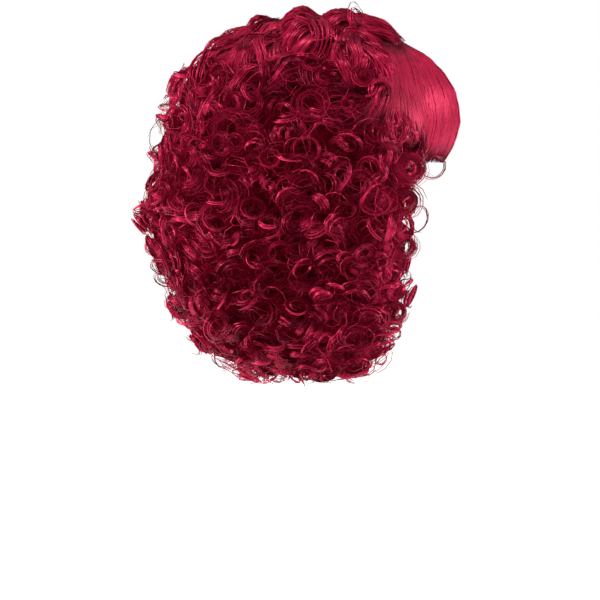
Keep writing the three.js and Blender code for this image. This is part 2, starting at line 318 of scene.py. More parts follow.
def scatter(spacing, first_depth, last_depth, temples=False, ahead_of=1.0):
    """Places evenly spread over the hair, and the directions out of it there: rows at even distances down the
    surface, and on each row places at even distances round it, moved at random by part of the spacing. What
    isn't ahead of a level of Y is left clear, and so are the straight hair and the larger ringlets in front,
    unless temples is set. The places lie deeper low down in front and high up behind."""
    row_share, stray, sink_in_front, sink_above = 0.88, 0.35, 0.007, 0.006
    fine = np.linspace(-math.pi, math.pi, 721)
    first, last = arc_at([first_depth, last_depth])
    turns, depths = [], []
    for row, arc in enumerate(np.arange(first, last, spacing * row_share)):
        length = length_along(hair_surface(fine, depth_at(arc)))
        count = max(int(length[-1] / spacing), 3)
        at = (np.arange(count) + 0.5 * (row % 2) + rng.uniform(-stray, stray, count)) / count
        turns.append(np.interp(at % 1 * length[-1], length, fine))
        depths.append(depth_at(arc + spacing * rng.uniform(-stray, stray, count)))
    turn, depth = np.concatenate(turns), np.concatenate(depths)
    x, y, z = hair_surface(turn, depth).T
    in_fringe = (y < part_plane(z) + 0.004) & (depth < FRINGE_BOTTOM)
    in_opening = (np.abs(x) < WAY_IN_HALF_WIDTH + 0.003) & (y < 0) & (depth > FRINGE_BOTTOM - 0.01)
    from_ring = np.hypot(y - FRONT_RINGS[:, 1:2], z - FRONT_RINGS[:, 2:3]).min(0)
    bottom = TEMPLE_BOTTOM + TEMPLE_DROP * ramp(TEMPLE_BACK_TURN - np.abs(turn), 0, 0.5)
    in_temple = (np.abs(turn) < TEMPLE_BACK_TURN) & (depth < bottom) | (from_ring < FRONT_RING_CLEAR)
    kept = ~(in_fringe | in_opening | (in_temple & (not temples))) & (y < ahead_of)
    turn, depth = turn[kept], depth[kept]
    in_front = ramp(-y[kept], 0, 0.06) * ramp(depth, 0.14, 0.06)
    above = ramp(y[kept], 0, 0.06) * ramp(-depth, -0.060, 0.05)
    normal = hair_normal(turn, depth)
    sunk = sink_in_front * in_front + sink_above * above
    return hair_surface(turn, depth) - normal * sunk[:, None], normal


def wander(shape, steps, size):
    """A slow random wave along each strand: two sines with random phases and a random share of the size."""
    share = np.linspace(0, TURN, steps)
    phase = rng.uniform(0, TURN, (2, *shape, 1))
    height = size * rng.uniform(0.3, 1, (*shape, 1))
    return height * (np.sin(share + phase[0]) + 0.6 * np.sin(2.3 * share + phase[1])) / 1.6


def wind(centre, axis, radius, turns, pitch, band, strands, steps, spread=0.12, stir=1.0):
    """Strands wound side by side about each curl's axis. A point is the centre, plus the axis times the rise,
    plus the radius times the direction that turns about the axis. The coil is a little oval, narrows towards
    its tip and droops, and each strand has its own place across the band, start and end, its own radius
    within the spread, and its own wander."""
    count = len(centre)
    square = (count, strands)

    def each(values):
        return np.broadcast_to(values, count)[:, None, None]

    helper = np.where(np.abs(axis[:, 2:]) < 0.9, [[0.0, 0.0, 1.0]], [[1.0, 0.0, 0.0]])
    first = unit(np.cross(axis, helper))
    oval = rng.uniform(0.78, 1.02, (count, 1))
    second = np.cross(axis, first) * oval
    start = rng.uniform(-0.10, 0.10, square)
    end = 1 + rng.uniform(-0.18, 0.08, square)
    share = start[..., None] + (end - start)[..., None] * np.linspace(0, 1, steps)
    hand = np.where(rng.random(count) < 0.5, -1, 1)
    angle = each(rng.uniform(0, TURN, count)) + each(hand * turns) * TURN * share
    place = (np.arange(strands) + 0.5 + rng.uniform(-0.45, 0.45, square)) / strands - 0.5
    stray = np.where(rng.random(square) < 0.12, rng.uniform(1.1, 1.4, square), 1)
    own_radius = radius[:, None] * (1 + spread * rng.uniform(-1.4, 0.6, square) - 0.5 * place**2) * stray
    breath = 1 + 0.09 * np.sin(TURN * 1.2 * share + each(rng.uniform(0, TURN, count)))
    narrowing = 1.2 - 0.42 * share
    reach = own_radius[..., None] * narrowing * breath + wander(square, steps, 0.0009 * stir)
    rise = each(pitch * turns) * (share - 0.5) + each(band) * place[..., None]
    rise = rise + wander(square, steps, 0.0012 * stir)
    droop = rng.normal(0, 0.0025, (count, 3)) - [0, 0, 0.0015]
    out = np.cos(angle)[..., None] * first[:, None, None] + np.sin(angle)[..., None] * second[:, None, None]
    path = centre[:, None, None] + axis[:, None, None] * rise[..., None] + out * reach[..., None]
    path = path + droop[:, None, None] * (4 * (share - 0.5) ** 2 - 0.33)[..., None]
    return path.reshape(-1, steps, 3), unit(out).reshape(-1, steps, 3)


def node_of(point):
    """The name of the piece of hair that each place belongs to."""
    x, y, z = point.T
    part = np.where(y > np.abs(x) * SIDE_SLOPE, "back_curls", "side_curls")
    tier = np.where(-z < UPPER_BOTTOM, "upper", "lower")
    hand = np.where(x > 0, "left", "right")
    names = np.array([f"{p}_{t}_{h}" for p, t, h in zip(part, tier, hand)], dtype=object)
    return np.where(-z < CROWN_BOTTOM, "crown_waves", names)


heap = defaultdict(Strands)  # the strands of each node's hair


def share_out(nodes, *strands):
    """Puts each strand on the heap of its own node's hair."""
    for node in sorted(set(nodes)):
        pick = nodes == node
        heap[node].add(*(part[pick] for part in strands))


def look_of(tone):
    """The number of the look for a tone from 0, dark, to 1, bright."""
    return (np.clip(tone, 0, 0.999) * LOOKS).astype(int)


# The two kinds of ringlet: the usual value and spread of the lean off the surface's normal, in radians, the
# ranges of the sizes, the share of the height over the mass that is kept, and, for full bundles of strands
# and for thin ones, the steps and how much the radii differ
RING = dict(lean=(0, 0.45), radius=(0.0080, 0.0114, 0.0148), turns=(1.5, 2.1), pitch=(0.002, 0.006),
            band=(0.002, 0.005), height=1.0, steps=(17, 14), differ=(0.22, 0.10))
CORKSCREW = dict(lean=(1.25, 0.25), radius=(0.0050, 0.0072, 0.0105), turns=(2.0, 3.0), pitch=(0.007, 0.010),
                 band=(0.003, 0.006), height=0.6, steps=(22, 16), differ=(0.10, 0.10))
THIN_BUNDLE = 4  # most strands of a thin bundle
# Painted light brightens the ringlets in front, and painted shade darkens them low behind
FRONT_PAINTED_LIGHT = 0.34
LOW_BACK_PAINTED_SHADE = -0.50


def add_ringlets(places, low, high, strands, half_width, tone, size=1.0, stir=1.0, rings=0.70):
    """Ringlets at these places. A share stand on end, so that their turns show as rings, and the rest lie
    along the hair as corkscrews; the outermost point of each is at its own height over the mass, from low to
    high. Their tone is brighter in front, as painted light, and darker low behind, as painted shade."""
    point, normal = places
    top = rng.uniform(low, high, len(point))
    down = unit(np.cross(normal, np.cross([0.0, 0.0, -1.0], normal)))
    beside = np.cross(normal, down)
    nodes = node_of(point)
    # Painted light in front and painted shade low behind
    low_back_shade = ramp(-point[:, 2], 0.15, 0.06) * ramp(point[:, 1], 0.02, 0.04)
    tone = tone + FRONT_PAINTED_LIGHT * ramp(-point[:, 1], 0, 0.04) + LOW_BACK_PAINTED_SHADE * low_back_shade
    on_end = rng.random(len(point)) < rings
    thin = int(strands <= THIN_BUNDLE)
    for kind in (RING, CORKSCREW):
        for node in sorted(set(nodes)):
            pick = (on_end == (kind is RING)) & (nodes == node)
            count = int(pick.sum())
            if not count:
                continue
            lean = np.abs(rng.normal(*kind["lean"], count))
            radius = size * rng.triangular(*kind["radius"], count)
            turns, pitch, band = (rng.uniform(*kind[part], count) for part in ("turns", "pitch", "band"))
            swing = rng.normal(0, 1.2, count)
            tangent = np.cos(swing)[:, None] * down[pick] + np.sin(swing)[:, None] * beside[pick]
            axis = np.cos(lean)[:, None] * normal[pick] + np.sin(lean)[:, None] * tangent
            extent = radius * np.abs(np.sin(lean)) + (pitch * turns / 2 + band / 2) * np.abs(np.cos(lean))
            centre = point[pick] + normal[pick] * (top[pick] * kind["height"] - extent)[:, None]
            path, out = wind(centre, axis, radius, turns, pitch, band, strands, kind["steps"][thin],
                             kind["differ"][thin], stir)
            total = len(path)
            half = half_width * rng.triangular(0.3, 0.8, 1.7, total)
            own = np.repeat(rng.normal(tone[pick], 0.12), strands) + rng.normal(0, 0.12, total)
            heap[node].add(path, out, half, 0.35 * half + 0.0001, look_of(own), taper=(0.15, 0.35))


# Materials

class Term:
    """A socket in a material's nodes. Operators on it add Math nodes."""

    def __init__(self, paint, socket):
        self.paint = paint
        self.socket = socket

    def math(self, operation, *others):
        return self.paint.node("ShaderNodeMath", {"operation": operation}, self, *others)

    def clamped(self):
        return self.math("MINIMUM", 1.0).math("MAXIMUM", 0.0)

    def __add__(self, other):
        return self.math("ADD", other)

    __radd__ = __add__

    def __mul__(self, other):
        return self.math("MULTIPLY", other)

    __rmul__ = __mul__

    def __sub__(self, other):
        return self.math("SUBTRACT", other)

    def __rsub__(self, other):
        return self.paint.node("ShaderNodeMath", {"operation": "SUBTRACT"}, other, self)


class Paint:
    """A material with one Principled shader, whose fixed values are set on its own sockets."""

    def __init__(self, name, **fixed):
        self.material = bpy.data.materials.new(name)
        self.material.use_nodes = True
        self.tree = self.material.node_tree
        self.shader = self.tree.nodes["Principled BSDF"]
        for socket, value in fixed.items():
            self.shader.inputs[socket.replace("_", " ")].default_value = value

    def node(self, kind, settings=None, *values, output=0, **named):
        """A node of this kind, with its settings made first and then its sockets, by place or by name."""
        made = self.tree.nodes.new(kind)
        for name, value in (settings or {}).items():
            setattr(made, name, value)
        sockets = [(made.inputs[i], value) for i, value in enumerate(values) if value is not None]
        sockets += [(made.inputs[name.replace("_", " ")], value) for name, value in named.items()]
        for socket, value in sockets:
            if isinstance(value, Term):
                self.tree.links.new(value.socket, socket)
            else:
                socket.default_value = value
        return Term(self, made.outputs[output])

    def mix(self, share, first, second):
        values = [share, None, None, None, None, None, first, second]
        return self.node("ShaderNodeMix", {"data_type": "RGBA"}, *values, output=2)

    def feed(self, socket, term):
        self.tree.links.new(term.socket, self.shader.inputs[socket])

    def place(self):
        return self.node("ShaderNodeTexCoord", output=3)

    def noise(self, vector, scale, detail=2.0, rough=0.5):
        return self.node("ShaderNodeTexNoise", None, Vector=vector, Scale=scale, Detail=detail,
                         Roughness=rough)

    def vector(self, x, y, z):
        return self.node("ShaderNodeCombineXYZ", None, x, y, z)

    def split(self, vector):
        made = self.node("ShaderNodeSeparateXYZ", None, vector)
        return [Term(self, socket) for socket in made.socket.node.outputs]

    def bump(self, height, strength, distance):
        normal = self.node("ShaderNodeBump", None, Height=height, Strength=strength, Distance=distance)
        self.feed("Normal", normal)


def strand_paint(name, dark, bright, roughness, root, tip, shine=0.50, loose=0.87):
    """Fibre: the looks in the strands' map go from dark to bright, with fine streaks along each strand and
    clumps of neighbouring strands darker or brighter, and painted light makes the hair brighter towards the
    middle plane of the wig, with painted shade towards its sides. Painted shade darkens the strand on its
    inner side, and over the shares of its length next to its root and its tip. A weak glow stands for light
    that comes through it, and is stronger in the looks from loose on, which single hairs have."""
    by_look, by_streak, by_clump, by_painted_middle_light, less = 0.9, 1.7, 0.7, 0.45, 1.27
    inner_side, inner_shade, glow = 0.667, 0.35, 0.44
    paint = Paint(name, IOR=1.5, Metallic=0.28, Specular_IOR_Level=shine, Specular_Tint=(1.0, 0.14, 0.28, 1),
                  Emission_Strength=0.16)
    u, v, _ = paint.split(paint.node("ShaderNodeUVMap", {"uv_map": UV_NAME}))
    streak = paint.noise(paint.vector(u * (LOOKS * 9.0), v * 3.0, 0.0), 1.0, 4.0, 0.75)
    place = paint.place()
    clump = paint.noise(place, 32.0, 1.0)
    # Painted light: brighter towards the middle plane of the wig, in painted shade towards its sides
    middle = 1.0 - paint.split(place)[0].math("ABSOLUTE") * 7.0
    share = (u * by_look + streak * by_streak + clump * by_clump + middle * by_painted_middle_light - less).clamped()
    # Painted shade on each strand's inner side, its flat underside
    inner = (u * LOOKS).math("FRACT").math("GREATER_THAN", inner_side)
    share = share * (1.0 - inner * inner_shade)
    # Painted shade over the shares of the length next to the root and the tip
    away_from_end_shade = (v * (1.0 / root)).math("MINIMUM", (1.0 - v) * (1.0 / tip)).math("MINIMUM", 1.0)
    colour = paint.mix(away_from_end_shade, PAINTED_END_SHADE, paint.mix(share, dark, bright))
    paint.feed("Base Color", colour)
    through = (u.math("GREATER_THAN", loose) * away_from_end_shade).math("MINIMUM", 1.0)
    paint.feed("Emission Color", paint.mix(through, paint.mix(glow, BLACK, colour), LIGHT_THROUGH))
    paint.feed("Roughness", streak * 0.18 + roughness)
    return paint.material


def base_paint(name, dark, bright):
    """The depth of the hair behind its strands, streaked downwards: the hair's own red, made darker than the
    strands as painted shade.
    """
    paint = Paint(name, Specular_IOR_Level=0.0)
    place = paint.place()
    x, y, z = paint.split(place)
    streak = paint.noise(paint.vector(x * 420.0, y * 420.0, z * 60.0), 1.0, 3.0)
    cloud = paint.noise(place, 60.0, 2.0)
    share = (streak * 0.9 + cloud * 0.8 - 0.45).clamped()
    paint.feed("Base Color", paint.mix(share, dark, bright))
    paint.feed("Roughness", streak * 0.2 + 0.5)
    paint.bump(streak, 0.8, 0.001)
    return paint.material


def net_paint():
    """Dark net: fine crossed threads, with sewn wefts in rows down the cap."""
    rows, mesh = 700.0, 3600.0
    paint = Paint("cap_net", Specular_IOR_Level=0.05)
    place = paint.place()
    x, y, z = paint.split(place)
    weft = (z * rows).math("SINE") * 0.5 + 0.5
    thread = (x * mesh + z * mesh).math("SINE") * (y * mesh - z * mesh).math("SINE") * 0.5 + 0.5
    cloud = paint.noise(place, 90.0, 3.0)
    share = (weft * 0.5 + thread * 0.3 + cloud * 0.4 - 0.1).math("MINIMUM", 1.0)
    paint.feed("Base Color", paint.mix(share, (0.006, 0.001, 0.002, 1), (0.055, 0.006, 0.012, 1)))
    paint.feed("Roughness", cloud * 0.2 + 0.75)
    paint.bump(weft + thread * 0.5, 0.6, 0.0008)
    return paint.material


def floor_paint():
    """Pale seamless paper with a faint grain."""
    paint = Paint("pale_floor", Specular_IOR_Level=0.1, Emission_Color=(1, 1, 1, 1), Emission_Strength=0.7)
    grain = paint.noise(paint.place(), 40.0, 3.0)
    paint.feed("Base Color", paint.mix(grain, (0.92, 0.92, 0.92, 1), (0.95, 0.95, 0.95, 1)))
    paint.feed("Roughness", grain * 0.1 + 0.7)
    return paint.material


BLACK = (0, 0, 0, 1)
# The colour of the painted shade at the root and the tip of a strand
PAINTED_END_SHADE = (0.035, 0.0006, 0.0040, 1)
LIGHT_THROUGH = (0.40, 0.020, 0.07, 1)
NONE_LOOSE = 2.0  # past the last look
# root and tip: the shares of a strand's length in painted shade at its ends; the crown's long dark roots
# paint the shade of the parting
CURL_FIBRE = strand_paint("curl_fibre", (0.13, 0.0011, 0.0100, 1), (0.37, 0.0085, 0.0440, 1),
                          roughness=0.25, root=0.16, tip=0.25)
CROWN_FIBRE = strand_paint("crown_fibre", (0.11, 0.0009, 0.0080, 1), (0.34, 0.0070, 0.0400, 1),
                           roughness=0.25, root=0.30, tip=0.20, shine=0.22)
FRINGE_FIBRE = strand_paint("fringe_fibre", (0.120, 0.0014, 0.0106, 1), (0.355, 0.0086, 0.041, 1),
                            roughness=0.36, root=0.14, tip=0.19, loose=NONE_LOOSE)
# The sheets under the hair, darker than the strands as painted shade
UNDER_HAIR = base_paint("under_hair", (0.060, 0.0004, 0.0040, 1), (0.28, 0.0018, 0.0180, 1))
UNDER_FRINGE = base_paint("under_fringe", (0.09, 0.0009, 0.0070, 1), (0.28, 0.0042, 0.0250, 1))
CAP_NET = net_paint()


def dress(piece, material, slot, *nodes):
    """Gives a piece its material, and puts it in the place of these nodes. The slot is not used."""
    piece.data.materials.append(material)
    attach(piece, "root")
    if nodes:
        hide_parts(*nodes)


# Cap and the depth of the hair, whose sheets are darkened as painted shade

def make_cap():
    """The hollow's surface from the crown to the cap's edge, as a wall."""
    turn = np.linspace(0, TURN, 80, endpoint=False)[:, None]
    from_front = np.abs(np.arctan2(np.sin(turn), np.cos(turn)))
    edge = np.interp(from_front, CAP_EDGE_TURN, CAP_EDGE_DEPTH)
    depth = edge * (1 - np.cos(np.linspace(0.02, 1, 24) * math.pi / 2))
    outer, inner = (hollow_surface(turn, depth, lift) for lift in (CAP_WALL, 0.0))
    return wall("cap_net", outer, inner, closed=True)


def make_under_crown():
    """The crown's surface, sunk under the waves towards the middle of the cap, over the cap."""
    inset = 0.007
    turn = np.linspace(0, TURN, 64, endpoint=False)[:, None]
    arc = np.linspace(0, arc_at(CROWN_BOTTOM + 0.008), 24)[None]
    surface = hair_surface(turn, depth_at(arc))
    outer = surface - unit(surface + [0, 0, HOLLOW_CROWN]) * inset
    inner = hollow_surface(turn, np.linspace(0.0005, CROWN_BOTTOM + 0.012, 14)[None], 0.0035)
    for grid, behind in ((outer, 0.003), (inner, 0.006)):
        grid[..., 1] = np.maximum(grid[..., 1], part_plane(grid[..., 2]) + behind)
    return wall("under_crown", outer, inner, closed=True)


def make_under_curls():
    """The surface of the sides and back, sunk under the curls, over the cap and the way in. Each level starts
    where it meets the fringe's plane, or below that the side of the opening in front."""
    inset, clear = 0.013, 0.006
    depth = np.linspace(CROWN_BOTTOM - 0.004, 0.300, 30)
    fine = np.linspace(0.05, math.pi / 2, 400)
    start = []
    for level in depth:
        x, y, z = (hair_surface(fine, level) - hair_normal(fine, level) * inset).T
        free = (y > part_plane(z) + 0.004) & ((level < 0.098) | (x > WAY_IN_HALF_WIDTH + 0.009))
        start.append(fine[np.argmax(free)] if free.any() else fine[-1])
    start = np.array(start)
    turn = start + (TURN - 2 * start) * np.linspace(0, 1, 76)[:, None]
    outer = hair_surface(turn, depth) - hair_normal(turn, depth) * inset
    ahead, across = np.cos(turn), np.sin(turn)
    half_width = WAY_IN_HALF_WIDTH + clear
    reach = np.where(ahead > 0, -outer[..., 1] / np.maximum(ahead, 1e-3), WAY_IN_BACK + clear)
    x = half_width * np.where(ahead > 0, np.sign(across), across)
    way_in = np.stack([x, -reach * ahead, np.broadcast_to(-depth, turn.shape)], -1)
    share = ramp(depth, 0.125, 0.03)[None, :, None]
    inner = hollow_surface(turn, depth, 0.0045) * (1 - share) + way_in * share
    reach_out, reach_in = (np.linalg.norm(grid[..., :2], axis=-1) for grid in (outer, inner))
    squeeze = np.minimum(1, (reach_out - 0.002) / np.maximum(reach_in, 1e-6))
    inner[..., :2] *= squeeze[..., None]
    inner[..., 1] = np.where(outer[..., 1] < 0, np.maximum(inner[..., 1], outer[..., 1]), inner[..., 1])
    return wall("under_curls", outer, inner)


dress(make_cap(), CAP_NET, "cap_net", "wig_cap")
dress(make_under_crown(), UNDER_HAIR, "curly_hair")
dress(make_under_curls(), UNDER_HAIR, "curly_hair")

# Ringlets deep in the hair, inside the front edge, over those, and in single loose hairs
add_ringlets(scatter(0.0245, 0.000, 0.304, temples=True), -0.004, 0.004,
             strands=3, half_width=0.0018, tone=0.50)
add_ringlets(scatter(0.0170, 0.116, 0.302, temples=True, ahead_of=-0.030), -0.008, 0.003,
             strands=4, half_width=0.0018, tone=0.50)
add_ringlets(scatter(0.0214, 0.026, 0.302), 0.003, 0.016,
             strands=8, half_width=0.00072, tone=0.57)
add_ringlets(scatter(0.0172, 0.000, 0.304), 0.006, 0.017,
             strands=1, half_width=0.00034, tone=0.92, size=1.15, stir=2.5)


def add_loops(places, strands):
    """Loose loops of a few hairs that stand out of the curls, with their axes nearer to the surface than to
    its normal. Those at the ends of the hair sit higher, so that none hangs free below."""
    tilt, raised = 0.6, 0.009
    point, normal = places
    count = len(point)
    swing = rng.uniform(0, TURN, count)[:, None]
    level = unit(np.cross(normal, [0.0, 0.0, 1.0]))
    axis = unit(np.cos(swing) * level + np.sin(swing) * np.cross(normal, level) + tilt * normal)
    radius = rng.uniform(0.0065, 0.0120, count)
    centre = point + normal * (radius - rng.uniform(0.002, 0.006, count))[:, None]
    centre[:, 2] += raised * ramp(-point[:, 2], 0.285, 0.02)
    path, out = wind(centre, axis, radius, rng.uniform(1.1, 1.6, count), rng.uniform(0.002, 0.006, count),
                     rng.uniform(0.0008, 0.0030, count), strands, 15)
    half = rng.triangular(0.0003, 0.0005, 0.0008, len(path))
    look = rng.integers(16, 31, len(path))
    share_out(np.repeat(node_of(point), strands), path, out, half, 0.5 * half, look)


add_loops(scatter(0.036, 0.000, 0.309), 4)


# Locks

def lock(middle, normal, lift, wave, turns, width, strands, phase=None):
    """Locks of side by side strands, lifted off the line of their middle along the normal. A coil about the
    middle, whose radius grows from the first to the last value in wave with the power of the share of the
    way, makes a lock swing and then curl. The swing starts at random, or at the phase."""
    count, steps = middle.shape[:2]
    share = np.linspace(0, 1, steps)
    along = unit(np.gradient(middle, axis=1))
    beside = unit(np.cross(normal, along))
    hand = np.where(rng.random(count) < 0.5, -1, 1)
    begin = rng.uniform(0, TURN, count) if phase is None else hand * phase
    swing = begin[:, None] + (hand * turns)[:, None] * TURN * share
    first, last, power = wave
    radius = first + (last * rng.uniform(0.8, 1.2, count)[:, None] - first) * share**power
    square = (count, strands)
    place = (np.arange(strands) + 0.5 + rng.uniform(-0.5, 0.5, square)) / strands - 0.5
    fan = width[:, None, None] * place[..., None] * (1.1 - 0.55 * share)
    own = swing[:, None] + rng.normal(0, 0.16, square)[..., None]
    swell = 0.003 * np.sin(math.pi * share)
    rounding = (0.012 * place**2)[..., None]
    up = lift[:, None, None] + swell + radius[:, None] * np.cos(own) - rounding
    up = up + wander(square, steps, 0.0009)
    sideways = radius[:, None] * np.sin(own) + fan + wander(square, steps, 0.0016)
    path = middle[:, None] + normal[:, None] * up[..., None] + beside[:, None] * sideways[..., None]
    facing = np.broadcast_to(normal[:, None], path.shape)
    return path.reshape(-1, steps, 3), facing.reshape(-1, steps, 3)


def add_locks(course, tone, lift, wave, turns, width, strands, half_width=0.0007, phase=None,
              node="crown_waves"):
    """Adds the strands of locks to one node's hair, or to that of the nodes that their tips belong to. Lift,
    turns and width each give a least and a greatest value, and every lock draws its own. Where there is a
    phase, it is moved at random, and turns has a value for each lock."""
    count = len(course[0])
    lift = rng.uniform(*lift, count)
    turns = rng.uniform(*turns, count) if phase is None else turns
    width = rng.uniform(*width, count)
    phase = None if phase is None else phase + rng.normal(0, 0.35, count)
    path, facing = lock(*course, lift, wave, turns, width, strands, phase)
    total = len(path)
    half = half_width * rng.triangular(0.4, 0.9, 1.7, total)
    own = np.repeat(rng.normal(tone, 0.12, count), strands) + rng.normal(0, 0.08, total)
    nodes = node_of(path[:, -1]) if node is None else np.full(total, node, dtype=object)
    share_out(nodes, path, facing, half, 0.35 * half + 0.0001, look_of(own))


def across(first, last, steps, power=1.0):
    """Values from first to last for each line, by a power of the share of the way."""
    return first[:, None] + (last - first)[:, None] * np.linspace(0, 1, steps) ** power


def down_hair(turn_from, turn_to, depth_from, depth_to, steps):
    """A course over the hair, even in turn and in the distance from the top, from and to depths that are
    drawn between a least and a greatest value."""
    first, last = (arc_at(rng.uniform(*depth, len(turn_from))) for depth in (depth_from, depth_to))
    turn, depth = across(turn_from, turn_to, steps), depth_at(across(first, last, steps))
    return hair_surface(turn, depth), hair_normal(turn, depth)


def over_crown(x_from, x_to, y_from, y_to, steps):
    """A course over the top, straight in plan."""
    x, y = across(x_from, x_to, steps), across(y_from, y_to, steps)
    return crown_surface(x, y), crown_normal(x, y)


def down_inside(turn, depth_from, depth_to, steps):
    """A course down the wall of the way in, facing inwards."""
    depth = across(depth_from, depth_to, steps)
    turn = np.broadcast_to(turn[:, None], depth.shape)
    x = (WAY_IN_HALF_WIDTH + 0.003) * np.sin(turn)
    y = -(WAY_IN_BACK + 0.003) * np.cos(turn)
    middle = np.stack([x, y, -depth], -1)
    return middle, unit(middle * [-1.0, -1.0, 0.0])


def even_steps(low, high, count):
    """Even steps from low to high, each moved at random within its step."""
    return low + (high - low) * (np.arange(count) + rng.uniform(0.1, 0.9, count)) / count


def both_sides(count, low, high):
    """Turns from low to high in degrees on either side of the front, in radians."""
    left, right = (even_steps(low, high, count // 2) for _ in range(2))
    return np.radians(np.concatenate([left, -right]))


CREST_SPACING = 0.0375
CREST_BACK = 0.032
FRONT_BOW = 3.0  # how the locks above the fringe end further back, by the square of their way to the side

# From round the top outwards to the sides and back
count = 34
first = np.radians(even_steps(66, 294, count))
last = first + rng.uniform(-0.35, 0.35, count)
add_locks(down_hair(first, last, (-0.0168, -0.0110), (0.030, 0.066), 24),
          tone=0.42, lift=(-0.003, 0.003), wave=(0.004, 0.0085, 1.0),
          turns=(1.3, 2.0), width=(0.014, 0.022), strands=11)

# Under those, a few broad ones
count = 30
first = np.radians(even_steps(55, 305, count))
last = first + rng.uniform(-0.2, 0.2, count)
add_locks(down_hair(first, last, (-0.0172, -0.0150), (0.020, 0.050), 18),
          tone=0.35, lift=(-0.006, -0.002), wave=(0.002, 0.006, 1.0),
          turns=(1.2, 1.9), width=(0.016, 0.022), strands=5, half_width=0.0024)

# Over the top to the back, in step so that the top has crests
count = 19
first = even_steps(-0.050, 0.050, count)
begin = rng.uniform(-0.032, -0.012, count)
end = rng.uniform(0.062, 0.092, count)
last = first * 1.4 + rng.uniform(-0.012, 0.012, count)
add_locks(over_crown(first, last, begin, end, 22),
          tone=0.42, lift=(0.002, 0.005), wave=(0.0035, 0.0060, 1.0),
          turns=(end - begin) / CREST_SPACING, width=(0.014, 0.020), strands=12,
          phase=TURN * (begin - CREST_BACK) / CREST_SPACING + first * 30)

# Over the top to the front, above the root of the fringe
count = 17
first = even_steps(-0.054, 0.054, count)
begin = rng.uniform(-0.014, 0.002, count)
end = rng.uniform(-0.062, -0.046, count) + FRONT_BOW * first**2
add_locks(over_crown(first, first * 0.97, begin, end, 15),
          tone=0.46, lift=(0.002, 0.006), wave=(0.001, 0.0030, 1.0),
          turns=(0.5, 0.9), width=(0.012, 0.018), strands=12)

# Under those, a few broad ones
count = 16
first = even_steps(-0.060, 0.060, count)
begin = rng.uniform(0.000, 0.010, count)
end = rng.uniform(-0.060, -0.050, count) + FRONT_BOW * first**2
add_locks(over_crown(first, first * 0.97, begin, end, 11),
          tone=0.30, lift=(-0.002, 0.002), wave=(0.001, 0.0020, 1.0),
          turns=(0.5, 0.9), width=(0.014, 0.020), strands=5, half_width=0.0024)

# From the parting down, behind the straight hair of the temples
count = 16
first = both_sides(count, 67, 92)
last = first * rng.uniform(0.9, 1.08, count)
add_locks(down_hair(first, last, (0.004, 0.014), (0.050, 0.072), 18),
          tone=0.56, lift=(0.004, 0.009), wave=(0.001, 0.008, 2.0),
          turns=(0.9, 1.4), width=(0.012, 0.020), strands=13)

# From the straight hair of the temples, ending in curls
count = 18
first = both_sides(count, 56, 74)
last = first * rng.uniform(1.0, 1.15, count)
add_locks(down_hair(first, last, (0.060, 0.080), (0.094, 0.108), 16),
          tone=0.62, lift=(0.003, 0.008), wave=(0.0008, 0.008, 2.0),
          turns=(0.9, 1.5), width=(0.009, 0.016), strands=12, half_width=0.0006, node=None)

# Down the wall of the way in, and ringlets over them, both dark in tone as painted shade inside the hollow
count = 44
first = np.radians(even_steps(78, 282, count))
begin = rng.uniform(0.148, 0.170, count)
end = rng.uniform(0.250, 0.306, count)
add_locks(down_inside(first, begin, end, 14),
          tone=0.02, lift=(-0.003, 0.000), wave=(0.001, 0.004, 1.0),
          turns=(1.4, 2.4), width=(0.012, 0.018), strands=6, half_width=0.0022, node=None)
count = 110
first = np.radians(rng.permutation(even_steps(80, 280, count)))
begin = even_steps(0.165, 0.292, count)
places = (part[:, 0] for part in down_inside(first, begin, begin + 0.01, 2))
add_ringlets(places, 0.001, 0.007, strands=3, half_width=0.0018, tone=0.15, rings=0.25)

# Larger ringlets at each side, from the temple down the front edge
strands = 25
right = FRONT_RINGS[:, :3] + FRONT_RINGS[:, 3:4] * [0.0, 1.0, 0.0]
centre = np.concatenate([right, right * [-1.0, 1.0, 1.0]])
radius = FRONT_RINGS[:, 4:].T.ravel()
axis = unit(np.sign(centre[:, :1]) * [1.0, 0.0, 0.0] + [0.0, -0.15, 0.08])
path, out = wind(centre, axis, radius, turns=2.1, pitch=0.003, band=0.008,
                 strands=strands, steps=25, spread=0.2)
half = 0.0007 * rng.triangular(0.4, 0.9, 1.7, len(path))
look = rng.integers(25, 32, len(path))
share_out(np.repeat(node_of(centre), strands), path, out, half, 0.4 * half, look)

for node, strands in heap.items():
    fibre = CROWN_FIBRE if node == "crown_waves" else CURL_FIBRE
    dress(strands.piece(f"{node}_strands"), fibre, "curly_hair", node)


# Fringe

FRINGE_DEPTH = np.array([0.0125, 0.014, 0.032, 0.055, 0.078, 0.097, 0.107, 0.113])
FRINGE_LIFT = np.array([0.0125, 0.0125, 0.0175, 0.0200, 0.0175, 0.0115, 0.0060, 0.0020])
FRINGE_UNDER = np.array([0.004, 0.004, 0.006, 0.009, 0.008, 0.005, 0.0035, 0.0020])
FRINGE_ROOT_TURN = math.radians(22)
FRINGE_SIDE_TURN = math.radians(50)
TEMPLE_DEPTH = [0.009, 0.03, 0.06, 0.085, 0.11]
TEMPLE_LIFT = [0.003, 0.007, 0.0085, 0.007, 0.000]


def fringe_turn(depth, lift):
    """How far the fringe reaches to each side: to where its surface meets the slanting plane, or further down
    as far as the temples."""
    reach = -hollow_surface(np.zeros_like(depth), depth, lift)[..., 1]
    meets = np.arccos(np.clip(-part_plane(-depth) / np.maximum(reach, 1e-6), -1, 1))
    fall = FRINGE_ROOT_TURN + (FRINGE_SIDE_TURN - FRINGE_ROOT_TURN) * ramp(depth, FRINGE_DEPTH[0], 0.03)
    return np.maximum(meets, fall)


